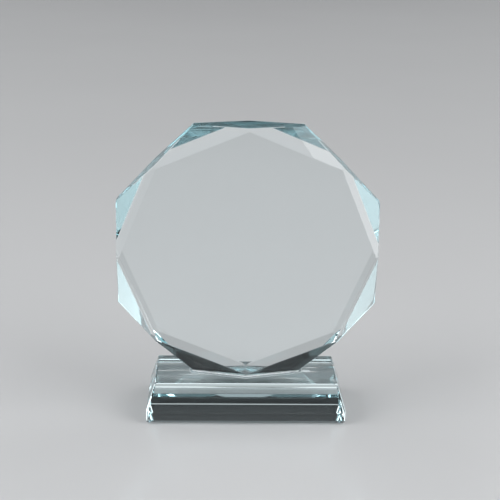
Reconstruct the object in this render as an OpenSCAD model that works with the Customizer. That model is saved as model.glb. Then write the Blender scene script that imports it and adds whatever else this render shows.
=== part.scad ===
// Crystal award: an eight-sided clear crystal plate with a flat facet ground across the
// front and the back of every corner, bonded upright on a bevelled crystal base block.
// Units are millimetres. +Z is up, the award's face looks along -Y, and the origin is the
// middle of the base's underside.

/* [Plate] */
// Width across the plate's flats, and so its height too
plate_w = 150; // [100:1:220]
// Thickness of the plate between its two polished faces
plate_t = 22; // [14:0.5:30]
// Length of the short edge that the two facets leave at each corner, front to back
corner_edge = 5; // [1:0.5:10]
// Distance from the middle of each side to where two corner facets meet on the face
facet_gap = 1.65; // [0.5:0.05:4]

/* [Base] */
// Length of the base at its foot
base_l = 117; // [100:1:200]
// Width of the base at its foot, front to back
base_w = 50; // [40:1:80]
// Height of the base
base_h = 24; // [18:0.5:40]
// Height of the upright band at the foot of the front and the back, below the slopes
front_foot = 7.5; // [5:0.5:12]
// Height of the upright band at the foot of each end, below the slopes
end_foot = 8.5; // [5:0.5:12]
// How far the front and the back lean in, from their foot bands to the top
front_lean = 4; // [1:0.5:8]
// How far each end leans in, from its foot band to the top
end_lean = 5; // [1:0.5:8]
// Width of the flat that is polished along the top's two long edges
top_flat = 2.4; // [0.6:0.1:3.5]
// Width of the flat that is polished along the underside's two long edges
ground_flat = 3.5; // [0.6:0.1:5]
// Width of the flat that is polished along every other edge of the base
edge_flat = 1.2; // [0.4:0.1:3]

/* [Bond] */
// Thickness of the cured adhesive between the plate and the base
bond_t = 0.2; // [0.1:0.05:0.5]

/* [Hidden] */

crystal_colour = [0.84, 0.93, 0.93, 0.45];
adhesive_colour = [0.96, 0.98, 0.97, 0.6];

// The plate: an octagon with a flat at its top, its foot and both sides
sides = 8;
half_turn = 180 / sides;
half_w = plate_w / 2;
half_t = plate_t / 2;
corner_r = half_w / cos(half_turn);
side_l = 2 * half_w * tan(half_turn);
plate_z = base_h + bond_t + half_w;

// One corner facet, in the plane through the plate's middle and that corner. It runs from
// its inner edge on the face, facet_r out from the middle, to the corner's short edge.
facet_r = (half_w - facet_gap) * cos(half_turn);
facet_run = corner_r - facet_r;
facet_drop = half_t - corner_edge / 2;

// Half the thickness that the facets leave at the middle of each side
side_half_t = half_t - (half_w * cos(half_turn) - facet_r) * facet_drop / facet_run;

// The base: outward normals of the faces of its quarter on the +X and +Y side
up = [0, 0, 1];
foot_side = [1, 0, 0];
foot_front = [0, 1, 0];
end_slope = unit([base_h - end_foot, 0, end_lean]);
front_slope = unit([0, base_h - front_foot, front_lean]);

// The corners of one quarter of the base, at the ground and at the top
ground_corner = [base_l / 2, base_w / 2, 0];
top_corner = [base_l / 2 - end_lean, base_w / 2 - front_lean, base_h];

// Size of the blocks that cut a plane, larger than any piece
cutter = 2 * (plate_w + base_l);

function unit(v) = v / norm(v);

// Everything beyond the plane through a point, on the side that the normal points to
module beyond(normal, point) {
    n = unit(normal);
    rotate([0, acos(n.z), atan2(n.y, n.x)])
        translate([-cutter / 2, -cutter / 2, n * point])
            cube(cutter);
}

// What a polished flat of some width takes off the edge where two faces meet, given their
// unit normals and a point on that edge
module flat_on_edge(face_a, face_b, point, width = edge_flat) {
    depth = width / 2 * norm(face_a - face_b) / norm(face_a + face_b);
    n = unit(face_a + face_b);
    beyond(n, point - depth * n);
}

// The clear plate, standing on its lowest side
module octagon_plate() {
    color(crystal_colour)
        translate([0, 0, plate_z])
            difference() {
                rotate([90, 0, 0])
                    linear_extrude(plate_t, center = true)
                        rotate(half_turn)
                            circle(r = corner_r, $fn = sides);
                for (face = [-1, 1], corner = [0 : sides - 1])
                    corner_facet(face, (2 * corner + 1) * half_turn);
            }
}

// What one facet takes off the front or back of the corner at an angle round the plate
module corner_facet(face, angle) {
    out = [cos(angle), 0, sin(angle)];
    depth = [0, face, 0];
    beyond(facet_drop * out + facet_run * depth, facet_r * out + half_t * depth);
}

// The cured adhesive, as large as the plate's lowest side
module adhesive_film() {
    half_l = side_l / 2;
    half_edge = corner_edge / 2;
    color(adhesive_colour)
        translate([0, 0, base_h])
            linear_extrude(bond_t)
                polygon([
                    [-half_l, -half_edge],
                    [0, -side_half_t],
                    [half_l, -half_edge],
                    [half_l, half_edge],
                    [0, side_half_t],
                    [-half_l, half_edge]
                ]);
}

// The base block: upright foot bands, sloping faces above them and a flat on every edge
module crystal_base() {
    color(crystal_colour)
        difference() {
            translate([-base_l / 2, -base_w / 2, 0])
                cube([base_l, base_w, base_h]);
            for (x = [0, 1], y = [0, 1])
                mirror([x, 0, 0])
                    mirror([0, y, 0])
                        quarter_cuts();
        }
}

// The slopes and flats of one quarter of the base
module quarter_cuts() {
    beyond(end_slope, top_corner);
    beyond(front_slope, top_corner);
    flat_on_edge(up, end_slope, top_corner);
    flat_on_edge(up, front_slope, top_corner, top_flat);
    flat_on_edge(end_slope, front_slope, top_corner);
    flat_on_edge(foot_side, foot_front, ground_corner);
    flat_on_edge(-up, foot_side, ground_corner);
    flat_on_edge(-up, foot_front, ground_corner, ground_flat);
}

octagon_plate();
adhesive_film();
crystal_base();
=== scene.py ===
import math
import random

import bmesh
import bpy
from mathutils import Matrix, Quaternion, Vector, noise


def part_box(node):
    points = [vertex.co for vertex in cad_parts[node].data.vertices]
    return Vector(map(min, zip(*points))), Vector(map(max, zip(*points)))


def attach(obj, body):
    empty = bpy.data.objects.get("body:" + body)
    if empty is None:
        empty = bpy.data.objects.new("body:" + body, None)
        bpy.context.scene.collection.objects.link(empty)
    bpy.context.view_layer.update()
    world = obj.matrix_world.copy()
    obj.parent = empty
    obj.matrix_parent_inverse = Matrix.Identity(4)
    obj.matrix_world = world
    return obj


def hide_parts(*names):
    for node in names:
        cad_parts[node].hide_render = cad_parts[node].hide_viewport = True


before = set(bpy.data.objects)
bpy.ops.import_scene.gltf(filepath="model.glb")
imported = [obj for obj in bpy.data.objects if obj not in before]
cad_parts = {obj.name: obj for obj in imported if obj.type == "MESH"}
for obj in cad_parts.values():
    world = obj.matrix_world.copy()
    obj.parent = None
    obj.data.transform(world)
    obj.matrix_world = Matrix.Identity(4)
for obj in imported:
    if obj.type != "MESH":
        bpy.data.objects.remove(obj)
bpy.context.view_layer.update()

# Lengths are in metres, and most are written as a number of millimetres
MM = 0.001

# Where the pieces are, from the frame
plate_low, plate_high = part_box("octagon_plate")
base_low, base_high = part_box("crystal_base")
film_low, film_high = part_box("adhesive_film")
plate_centre = (plate_low + plate_high) / 2

# Camera: where it looks and from how far, how it is turned, tilted down and rolled, and its
# lens and sensor in Blender's millimetres
AIM = plate_centre + Vector((1.5, 0.0, 0.9)) * MM
VIEW_DISTANCE = 629.3 * MM
VIEW_TURN = math.radians(1.45)
VIEW_PITCH = math.radians(19.27)
VIEW_ROLL = math.radians(0.88)
FOCAL_LENGTH = 78.2
SENSOR_WIDTH = 36.0

# Brightness of the studio by elevation in degrees: all round, and of the dark backdrop
# behind the award. The backdrop comes in as a direction's Y goes between two values.
SURROUND = ((0, 0.26), (12, 0.42), (80, 0.48))
BACKDROP = ((0, 0.24), (7, 0.18), (13, 0.03), (50, 0.02), (80, 0.20))
BACKDROP_FADE = (0.25, 0.65)
COOL_GREY = (1.0, 1.02, 1.05)

# Lamps, all at one distance from what they face: name, azimuth and elevation in degrees,
# width and height in metres, radiance. Azimuth 0 is behind the award, 90 is to its right.
LAMP_DISTANCE = 3.0
SOFTBOXES = (
    ("right_softbox", 114, 33, 2.26, 2.7, 2.7),
    ("left_softbox", -106, 33, 2.2, 2.7, 2.7),
    ("left_side_softbox", -58, 33, 1.75, 1.5, 1.7),
    ("left_rear_strip", -27, 22, 0.5, 1.5, 2.0),
    ("right_side_softbox", 58, 33, 1.75, 1.5, 1.7),
    ("right_rear_strip", 27, 22, 0.5, 1.5, 2.0),
    ("right_kicker", 113.7, 2.3, 0.7, 0.33, 3.0),
    ("front_strip", 178, 11, 1.0, 0.36, 1.2),
)

# Thin bars of light, in the same columns. They face the back of the base, and make the
# white lines along its long edges.
BACK_OF_BASE = Vector((0, base_high.y, 9 * MM))
LIGHT_BARS = (
    ("flat_bar", 2, 47.85, 1.0, 0.046, 0.55),
    ("edge_bar", 2, 48.9, 1.0, 0.048, 1.1),
    ("top_bar", 2, 60.0, 1.0, 0.075, 0.9),
    ("foot_bar", 2, 31.2, 1.0, 0.055, 0.6),
)

# Floor: its two tones, its radius, and how far it lies below the base
FLOOR_TONES = ((0.58, 0.585, 0.59, 1), (0.61, 0.615, 0.62, 1))
FLOOR_RADIUS = 30.0
FLOOR_DROP = 0.01 * MM

# How many bounces light may take in and between the crystals, and how many as reflections
BOUNCES = 24
REFLECTIONS = 12

# The narrow ground line along every edge of the crystals. Two faces meet in an edge if they
# differ by more than EDGE_ANGLE, and are one face if they differ by less than FLAT_ANGLE.
# The weld closes the hair-wide faces at the base's upper corners.
GROUND_LINE = 0.28 * MM
EDGE_ANGLE = math.radians(8)
FLAT_ANGLE = math.radians(0.5)
WELD_REACH = 0.06 * MM

# Smears of wiped adhesive on the base's top. From the middle out to each side they come in
# between two distances and die away between two more, and they die away to the front and
# the back too. Their streaks are turned, and finest across their length.
SMEARS_COME_IN = (12 * MM, 34 * MM)
SMEARS_DIE_AWAY = (36 * MM, 66 * MM)
SMEARS_DIE_AWAY_ACROSS = (7 * MM, 19 * MM)
STREAK_TURN = (0, 0, math.radians(14))
STREAK_FINENESS = (30, 460, 30)
SMEARED_CLEARNESS = 0.25

# The plate's foot: the short edge at each end of its lowest side, and how far its walls lean
# out for each metre up, at the two ends and along the front and the back
FOOT_END = 5.0 * MM
END_LEAN = 1.0
FACE_LEAN = 0.58

# How far the cured adhesive reaches into both crystals, so that the joint reads as one
# optical contact
CONTACT = 0.02 * MM

# The bead of adhesive all round the plate's foot, and about how far apart its sections are
BEAD_WIDTH = 0.75 * MM
BEAD_HEIGHT = 0.55 * MM
SECTION_STEP = 0.6 * MM

# The thin clear skirt of adhesive outside the bead, which ends in a low rim. Its levels are
# above the base's top: the skirt's at the bead and at the rim, the rim's crest and its edge.
SKIRT_WIDTH = 1.9 * MM
RIM_WIDTH = 0.35 * MM
SKIRT_INNER_LEVEL = 0.06 * MM
SKIRT_OUTER_LEVEL = 0.04 * MM
RIM_CREST_LEVEL = 0.11 * MM
RIM_EDGE_LEVEL = 0.01 * MM

# Along the front the bead nearly runs out at one place, just short of the right end
GAP_X = film_high.x - 2.6 * MM
GAP_RUN = 2.6 * MM
GAP_DEPTH = 0.85

# Flat air bubbles in the joint: how many, their least and greatest radius, their thickness
BUBBLES = 24
BUBBLE_RADII = (0.12 * MM, 0.42 * MM)
BUBBLE_THICKNESS = 0.12 * MM

# One drop of adhesive on the base's top, past the joint's right end. The unevenness of its
# outline is that of the noise along a circle round its middle.
DROP_PLACE = Vector((film_high.x + 5.2 * MM, -2.0 * MM, film_low.z))
DROP_HALF_LENGTH = 2.6 * MM
DROP_HALF_WIDTH = 1.8 * MM
DROP_HEIGHT = 0.12 * MM
DROP_NOISE_CIRCLE = 1.2 * MM
DROP_RINGS = 5
DROP_STEPS = 40

# How uneven the adhesive is: the share by which a size may differ either way, and how many
# waves that unevenness has in a metre
BEAD_UNEVEN = (0.35, 250)
SKIRT_UNEVEN = (0.2, 120)
DROP_UNEVEN = (0.3, 1400)

# The adhesive's material slots. It is clear but for the bead, the rim and the drop, so one
# strip of the section is clear: the skirt's, between the bead and the rim.
CLEAR, CLOUDY = 0, 1
SKIRT_STRIP = 5
SMOOTH_ANGLE = math.radians(50)


# ---------------------------------------------------------------- materials

def new_material(name):
    """A material with an empty node tree, that tree, and its output node."""
    material = bpy.data.materials.new(name)
    material.use_nodes = True
    tree = material.node_tree
    tree.nodes.clear()
    return material, tree, tree.nodes.new("ShaderNodeOutputMaterial")


def add(tree, kind, **values):
    """A node of one kind, with its properties and its input sockets set by name, _ for space."""
    node = tree.nodes.new(kind)
    for key, value in values.items():
        if hasattr(node, key):
            setattr(node, key, value)
        else:
            node.inputs[key.replace("_", " ")].default_value = value
    return node


def map_range(tree, value, source, target):
    """Maps a value from one range to another, and gives the output socket."""
    node = add(tree, "ShaderNodeMapRange")
    limits = (*source, *target)
    for socket, limit in zip(("From Min", "From Max", "To Min", "To Max"), limits):
        node.inputs[socket].default_value = limit
    tree.links.new(value, node.inputs["Value"])
    return node.outputs["Result"]


def calculate(tree, operation, *values):
    """Puts one or two values through a math operation, and gives the output socket."""
    node = add(tree, "ShaderNodeMath", operation=operation)
    for value, socket in zip(values, node.inputs):
        tree.links.new(value, socket)
    return node.outputs[0]


def crystal_material(name, tint, tint_density):
    """Polished optical crystal: clear, with polishing haze and a tint that grows with depth."""
    material, tree, output = new_material(name)
    link = tree.links.new
    place = add(tree, "ShaderNodeTexCoord")
    glass = add(tree, "ShaderNodeBsdfPrincipled", Base_Color=(1, 1, 1, 1), IOR=1.52)
    glass.inputs["Transmission Weight"].default_value = 1.0
    link(glass.outputs[0], output.inputs["Surface"])
    depth_tint = add(tree, "ShaderNodeVolumeAbsorption", Color=(*tint, 1), Density=tint_density)
    link(depth_tint.outputs[0], output.inputs["Volume"])

    # Haze roughens the polish a little, in patches
    haze = add(tree, "ShaderNodeTexNoise", Scale=38.0, Detail=5.0, Roughness=0.62)
    link(place.outputs["Object"], haze.inputs["Vector"])
    rough = map_range(tree, haze.outputs["Fac"], (0.45, 0.75), (0.0, 0.02))
    link(rough, glass.inputs["Roughness"])

    # The polished faces have a very slight ripple
    ripple = add(tree, "ShaderNodeTexNoise", Scale=24.0, Detail=1.0)
    link(place.outputs["Object"], ripple.inputs["Vector"])
    bump = add(tree, "ShaderNodeBump", Strength=0.05, Distance=0.2 * MM)
    link(ripple.outputs["Fac"], bump.inputs["Height"])
    link(bump.outputs[0], glass.inputs["Normal"])
    return material


def add_smears(material, top):
    """Adds faint smears of wiped adhesive to the upward face at this height."""
    tree = material.node_tree
    link = tree.links.new
    place = add(tree, "ShaderNodeTexCoord")
    split = add(tree, "ShaderNodeSeparateXYZ")
    link(place.outputs["Object"], split.inputs[0])
    on_top = map_range(tree, split.outputs["Z"], (top - 0.05 * MM, top - 0.02 * MM), (0, 1))

    # Where the smears lie: a patch on each side of the joint
    sideways = calculate(tree, "ABSOLUTE", split.outputs["X"])
    across = calculate(tree, "ABSOLUTE", split.outputs["Y"])
    dies_away = map_range(tree, sideways, SMEARS_DIE_AWAY, (1, 0))
    comes_in = map_range(tree, sideways, SMEARS_COME_IN, (0.1, 1))
    dies_away_across = map_range(tree, across, SMEARS_DIE_AWAY_ACROSS, (1, 0))
    patch = calculate(tree, "MULTIPLY", dies_away, comes_in)
    patch = calculate(tree, "MULTIPLY", patch, dies_away_across)
    patch = calculate(tree, "MULTIPLY", patch, on_top)

    # Fine streaks, drawn out along the direction of the wiping
    stretch = add(tree, "ShaderNodeMapping", Rotation=STREAK_TURN, Scale=STREAK_FINENESS)
    link(place.outputs["Object"], stretch.inputs["Vector"])
    streak = add(tree, "ShaderNodeTexNoise", Scale=1.0, Detail=4.0, Roughness=0.6)
    link(stretch.outputs[0], streak.inputs["Vector"])
    streaks = map_range(tree, streak.outputs["Fac"], (0.53, 0.64), (0, 1))
    smears = calculate(tree, "MULTIPLY", patch, streaks)

    glass = next(node for node in tree.nodes if node.bl_idname == "ShaderNodeBsdfPrincipled")
    clear = map_range(tree, smears, (0, 1), (1.0, SMEARED_CLEARNESS))
    link(clear, glass.inputs["Transmission Weight"])


def adhesive_material(name, clearness, roughness):
    """Cured adhesive: nearly the crystal's index, with fine cloudiness between two limits."""
    material, tree, output = new_material(name)
    link = tree.links.new
    place = add(tree, "ShaderNodeTexCoord")
    glue = add(tree, "ShaderNodeBsdfPrincipled", Base_Color=(0.93, 0.96, 0.97, 1), IOR=1.5)
    link(glue.outputs[0], output.inputs["Surface"])
    cloud = add(tree, "ShaderNodeTexNoise", Scale=900.0, Detail=3.0)
    link(place.outputs["Object"], cloud.inputs["Vector"])
    glue.inputs["Transmission Weight"].default_value = sum(clearness) / 2
    for socket, limits in (("Transmission Weight", clearness), ("Roughness", roughness)):
        clouded = map_range(tree, cloud.outputs["Fac"], (0.35, 0.65), limits)
        link(clouded, glue.inputs[socket])
    return material


def floor_material():
    """Pale satin studio floor with a very faint mottle."""
    material, tree, output = new_material("studio_floor")
    link = tree.links.new
    place = add(tree, "ShaderNodeTexCoord")
    mottle = add(tree, "ShaderNodeTexNoise", Scale=3.0, Detail=3.0)
    link(place.outputs["Object"], mottle.inputs["Vector"])
    tone = add(tree, "ShaderNodeMix", data_type="RGBA")
    for socket, colour in zip("AB", FLOOR_TONES):
        tone.inputs[socket].default_value = colour
    link(mottle.outputs["Fac"], tone.inputs["Factor"])
    surface = add(tree, "ShaderNodeBsdfPrincipled", Roughness=0.22, IOR=1.5)
    link(tone.outputs["Result"], surface.inputs["Base Color"])
    link(surface.outputs[0], output.inputs["Surface"])
    return material


# ----------------------------------------------------------------- crystals

def flat_faces_group():
    """Geometry nodes that shade every face flat, as ground and polished planes are."""
    group = bpy.data.node_groups.new("flat_faces", "GeometryNodeTree")
    for way in ("INPUT", "OUTPUT"):
        group.interface.new_socket("Geometry", in_out=way, socket_type="NodeSocketGeometry")
    start = group.nodes.new("NodeGroupInput")
    drop = group.nodes.new("GeometryNodeRemoveAttribute")
    drop.inputs["Name"].default_value = "custom_normal"
    flat = group.nodes.new("GeometryNodeSetShadeSmooth")
    flat.inputs["Shade Smooth"].default_value = False
    end = group.nodes.new("NodeGroupOutput")
    for before, after in ((start, drop), (drop, flat), (flat, end)):
        group.links.new(before.outputs[0], after.inputs[0])
    return group


def finish_crystal(node, material, flat_faces):
    """Gives a carried CAD crystal its material and a fine ground line along each edge."""
    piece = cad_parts[node]
    piece.material_slots[0].material = material
    weld = piece.modifiers.new("weld", "WELD")
    weld.merge_threshold = WELD_REACH
    merge = piece.modifiers.new("whole_faces", "DECIMATE")
    merge.decimate_type = "DISSOLVE"
    merge.angle_limit = FLAT_ANGLE
    edge = piece.modifiers.new("ground_edges", "BEVEL")
    edge.width = GROUND_LINE
    edge.segments = 1
    edge.limit_method = "ANGLE"
    edge.angle_limit = EDGE_ANGLE
    flat = piece.modifiers.new("flat_faces", "NODES")
    flat.node_group = flat_faces


# ----------------------------------------------------------------- adhesive

def uneven(place, unevenness, seed):
    """A factor near 1 that changes smoothly with the place, and is different for each seed."""
    share, waves = unevenness
    level = noise.noise(place * waves + Vector((0, 0, 7.3 * seed))) * 0.5 + 0.5
    return 1 - share + 2 * share * level


def foot_outline():
    """Points round the plate's foot: place, outward direction and how far its wall leans out."""
    half_l, half_t = film_high.x, film_high.y
    half_end = FOOT_END / 2
    corners = [
        Vector((half_l, -half_end, 0)),
        Vector((half_l, half_end, 0)),
        Vector((0, half_t, 0)),
        Vector((-half_l, half_end, 0)),
        Vector((-half_l, -half_end, 0)),
        Vector((0, -half_t, 0)),
    ]
    sides = []
    for start, end in zip(corners, corners[1:] + corners[:1]):
        run = end - start
        outward = Vector((run.y, -run.x, 0)).normalized()
        lean = END_LEAN if run.x == 0 else FACE_LEAN
        sides.append((start, run, outward, lean))

    # Within two steps of a corner, the direction and the lean turn into the next side's
    outline = []
    for index, (start, run, outward, lean) in enumerate(sides):
        _, _, outward_before, lean_before = sides[index - 1]
        _, _, outward_after, lean_after = sides[(index + 1) % len(sides)]
        steps = max(4, round(run.length / SECTION_STEP))
        for step in range(steps):
            before = max(0.0, 1 - step / 2) / 2
            after = max(0.0, 1 - (steps - step) / 2) / 2
            own = 1 - before - after
            way = outward * own + outward_before * before + outward_after * after
            slope = lean * own + lean_before * before + lean_after * after
            outline.append((start + run * (step / steps), way.normalized(), slope))
    return outline


def bead_fullness(place):
    """How full the bead is: 1, but less in the gap along the front."""
    if place.y > 0:
        return 1.0
    return 1 - GAP_DEPTH * max(0.0, 1 - abs(place.x - GAP_X) / GAP_RUN)


def adhesive_section(place, outward, lean):
    """The adhesive's section at a place on the outline, from its top out and round to below."""
    top, bottom = film_high.z, film_low.z
    full = bead_fullness(place)
    width = full * BEAD_WIDTH * uneven(place, BEAD_UNEVEN, 1)
    height = full * BEAD_HEIGHT * uneven(place, BEAD_UNEVEN, 2)
    reach = width + SKIRT_WIDTH * uneven(place, SKIRT_UNEVEN, 4)
    lip = lean * height
    section = (
        # The bead: up the plate's wall, and down its hollow front
        (-CONTACT, top + CONTACT),
        (lip - CONTACT, top + height),
        (lip + CONTACT, top + height * 0.96),
        (lip * 0.62 + width * 0.16, top + height * 0.45),
        (width * 0.62, top),
        (width, bottom + SKIRT_INNER_LEVEL),
        # The skirt: out along its film, over its rim and into the base
        (reach - RIM_WIDTH, bottom + SKIRT_OUTER_LEVEL),
        (reach - RIM_WIDTH / 2, bottom + RIM_CREST_LEVEL),
        (reach, bottom + RIM_EDGE_LEVEL),
        (reach - CONTACT, bottom - CONTACT),
    )
    return [place + outward * out + Vector((0, 0, level)) for out, level in section]


def add_ring(bm, sections):
    """Joins a closed row of sections into one solid with a flat top and bottom."""
    rows = [[bm.verts.new(point) for point in section] for section in sections]
    for row, following in zip(rows, rows[1:] + rows[:1]):
        for strip in range(len(row) - 1):
            quad = (row[strip], row[strip + 1], following[strip + 1], following[strip])
            slot = CLEAR if strip == SKIRT_STRIP else CLOUDY
            bm.faces.new(quad).material_index = slot
    bm.faces.new([row[0] for row in rows])
    bm.faces.new([row[-1] for row in reversed(rows)])


def add_bubble(bm, centre, radius):
    """A flat air bubble. Its faces look inward, because the air is inside."""
    made = bmesh.ops.create_icosphere(bm, subdivisions=2, radius=radius)
    for vert in made["verts"]:
        vert.co.z *= BUBBLE_THICKNESS / (2 * radius)
        vert.co += centre
    faces = {face for vert in made["verts"] for face in vert.link_faces}
    bmesh.ops.reverse_faces(bm, faces=list(faces))


def add_bubbles(bm):
    """Bubbles of several sizes, scattered in the joint, fewer where it narrows."""
    middle = (film_low.z + film_high.z) / 2
    chance = random.Random(11)
    for _ in range(BUBBLES):
        along = chance.uniform(-0.9, 0.9)
        across = chance.uniform(-0.8, 0.8) * (1 - 0.75 * abs(along))
        place = Vector((along * film_high.x, across * film_high.y, middle))
        add_bubble(bm, place, chance.uniform(*BUBBLE_RADII))


def add_drop(bm, centre):
    """A drop of adhesive that lies on the base: a low dome with an uneven rim."""
    rows = []
    for ring in range(1, DROP_RINGS + 1):
        part = ring / DROP_RINGS
        level = DROP_HEIGHT * (1 - part ** 2) if ring < DROP_RINGS else -CONTACT
        row = []
        for step in range(DROP_STEPS):
            turn = 2 * math.pi * step / DROP_STEPS
            rim = Vector((math.cos(turn), math.sin(turn), 0))
            reach = part * uneven(centre + rim * DROP_NOISE_CIRCLE, DROP_UNEVEN, 3)
            out = Vector((rim.x * reach * DROP_HALF_LENGTH, rim.y * reach * DROP_HALF_WIDTH, level))
            row.append(bm.verts.new(centre + out))
        rows.append(row)
    tip = bm.verts.new(centre + Vector((0, 0, DROP_HEIGHT)))
    for step in range(DROP_STEPS):
        after = (step + 1) % DROP_STEPS
        bm.faces.new((tip, rows[0][step], rows[0][after])).material_index = CLOUDY
        for inner, outer in zip(rows, rows[1:]):
            quad = (inner[step], outer[step], outer[after], inner[after])
            bm.faces.new(quad).material_index = CLOUDY
    bm.faces.new(list(reversed(rows[-1])))


def add_mesh(name, bm):
    """A new object made of a finished bmesh, which is freed."""
    mesh = bpy.data.meshes.new(name)
    bm.to_mesh(mesh)
    bm.free()
    piece = bpy.data.objects.new(name, mesh)
    bpy.context.collection.objects.link(piece)
    return piece


def make_adhesive(clear, cloudy):
    """The cured adhesive, with its bead and skirt, its trapped bubbles and one stray drop."""
    bm = bmesh.new()
    add_ring(bm, [adhesive_section(*point) for point in foot_outline()])
    add_bubbles(bm)
    add_drop(bm, DROP_PLACE)
    piece = add_mesh("adhesive", bm)
    piece.data.materials.append(clear)
    piece.data.materials.append(cloudy)
    for polygon in piece.data.polygons:
        polygon.use_smooth = True
    piece.data.set_sharp_from_angle(angle=SMOOTH_ANGLE)
    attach(piece, "root")
    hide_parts("adhesive_film")


# -------------------------------------------------------------------- stage

def direction(azimuth, elevation):
    """The unit vector at two angles. Azimuth 0 is straight back, a quarter turn is right."""
    return Vector((
        math.sin(azimuth) * math.cos(elevation),
        math.cos(azimuth) * math.cos(elevation),
        math.sin(elevation),
    ))


def make_camera():
    """The camera, in front of the award and looking down at it."""
    lens = bpy.data.cameras.new("camera")
    lens.lens = FOCAL_LENGTH
    lens.sensor_width = SENSOR_WIDTH
    camera = bpy.data.objects.new("camera", lens)
    bpy.context.collection.objects.link(camera)
    way = direction(VIEW_TURN, -VIEW_PITCH)
    camera.location = AIM - way * VIEW_DISTANCE
    camera.rotation_mode = "QUATERNION"
    camera.rotation_quaternion = way.to_track_quat("-Z", "Y") @ Quaternion((0, 0, 1), VIEW_ROLL)
    bpy.context.scene.camera = camera


def elevation_ramp(tree, height, levels):
    """Greys by elevation, and the socket that carries them."""
    ramp = add(tree, "ShaderNodeValToRGB")
    stops = ramp.color_ramp.elements
    for _ in levels[2:]:
        stops.new(0.5)
    for stop, (elevation, grey) in zip(stops, levels):
        stop.position = math.sin(math.radians(elevation))
        stop.color = (*(grey * part for part in COOL_GREY), 1)
    tree.links.new(height, ramp.inputs["Fac"])
    return ramp.outputs["Color"]


def make_world():
    """A soft pale studio with a dark backdrop behind the award, above a pale horizon."""
    world = bpy.data.worlds.new("studio")
    bpy.context.scene.world = world
    world.use_nodes = True
    tree = world.node_tree
    place = add(tree, "ShaderNodeTexCoord")
    split = add(tree, "ShaderNodeSeparateXYZ")
    tree.links.new(place.outputs["Generated"], split.inputs[0])
    mix = add(tree, "ShaderNodeMix", data_type="RGBA")
    behind = map_range(tree, split.outputs["Y"], BACKDROP_FADE, (0, 1))
    tree.links.new(behind, mix.inputs["Factor"])
    for socket, levels in (("A", SURROUND), ("B", BACKDROP)):
        colour = elevation_ramp(tree, split.outputs["Z"], levels)
        tree.links.new(colour, mix.inputs[socket])
    tree.links.new(mix.outputs["Result"], tree.nodes["Background"].inputs["Color"])


def make_floor():
    """A wide round floor, a hair below the base."""
    bm = bmesh.new()
    bmesh.ops.create_circle(bm, cap_ends=True, segments=96, radius=FLOOR_RADIUS)
    floor = add_mesh("studio_floor", bm)
    floor.location.z = base_low.z - FLOOR_DROP
    floor.data.materials.append(floor_material())


def make_lamp(target, name, azimuth, elevation, width, height, radiance):
    """An area light that faces its target."""
    way = direction(math.radians(azimuth), math.radians(elevation))
    light = bpy.data.lights.new(name, "AREA")
    light.shape = "RECTANGLE"
    light.size = width
    light.size_y = height
    light.energy = radiance * math.pi * width * height
    lamp = bpy.data.objects.new(name, light)
    bpy.context.collection.objects.link(lamp)
    lamp.location = target + way * LAMP_DISTANCE
    lamp.rotation_mode = "QUATERNION"
    lamp.rotation_quaternion = way.to_track_quat("Z", "Y")
    lamp.visible_camera = False


make_camera()
make_world()
make_floor()
for softbox in SOFTBOXES:
    make_lamp(plate_centre, *softbox)
for light_bar in LIGHT_BARS:
    make_lamp(BACK_OF_BASE, *light_bar)

flat_faces = flat_faces_group()
plate_crystal = crystal_material("plate_crystal", tint=(0.10, 0.80, 0.90), tint_density=2.9)
base_crystal = crystal_material("base_crystal", tint=(0.08, 0.78, 0.90), tint_density=3.6)
add_smears(base_crystal, base_high.z)
finish_crystal("octagon_plate", plate_crystal, flat_faces)
finish_crystal("crystal_base", base_crystal, flat_faces)
make_adhesive(
    clear=adhesive_material("adhesive_clear", clearness=(0.97, 1.0), roughness=(0.0, 0.03)),
    cloudy=adhesive_material("adhesive_bead", clearness=(0.0, 0.2), roughness=(0.05, 0.2)),
)

scene = bpy.context.scene
scene.view_settings.view_transform = "Standard"
scene.cycles.max_bounces = BOUNCES
scene.cycles.transmission_bounces = BOUNCES
scene.cycles.glossy_bounces = REFLECTIONS
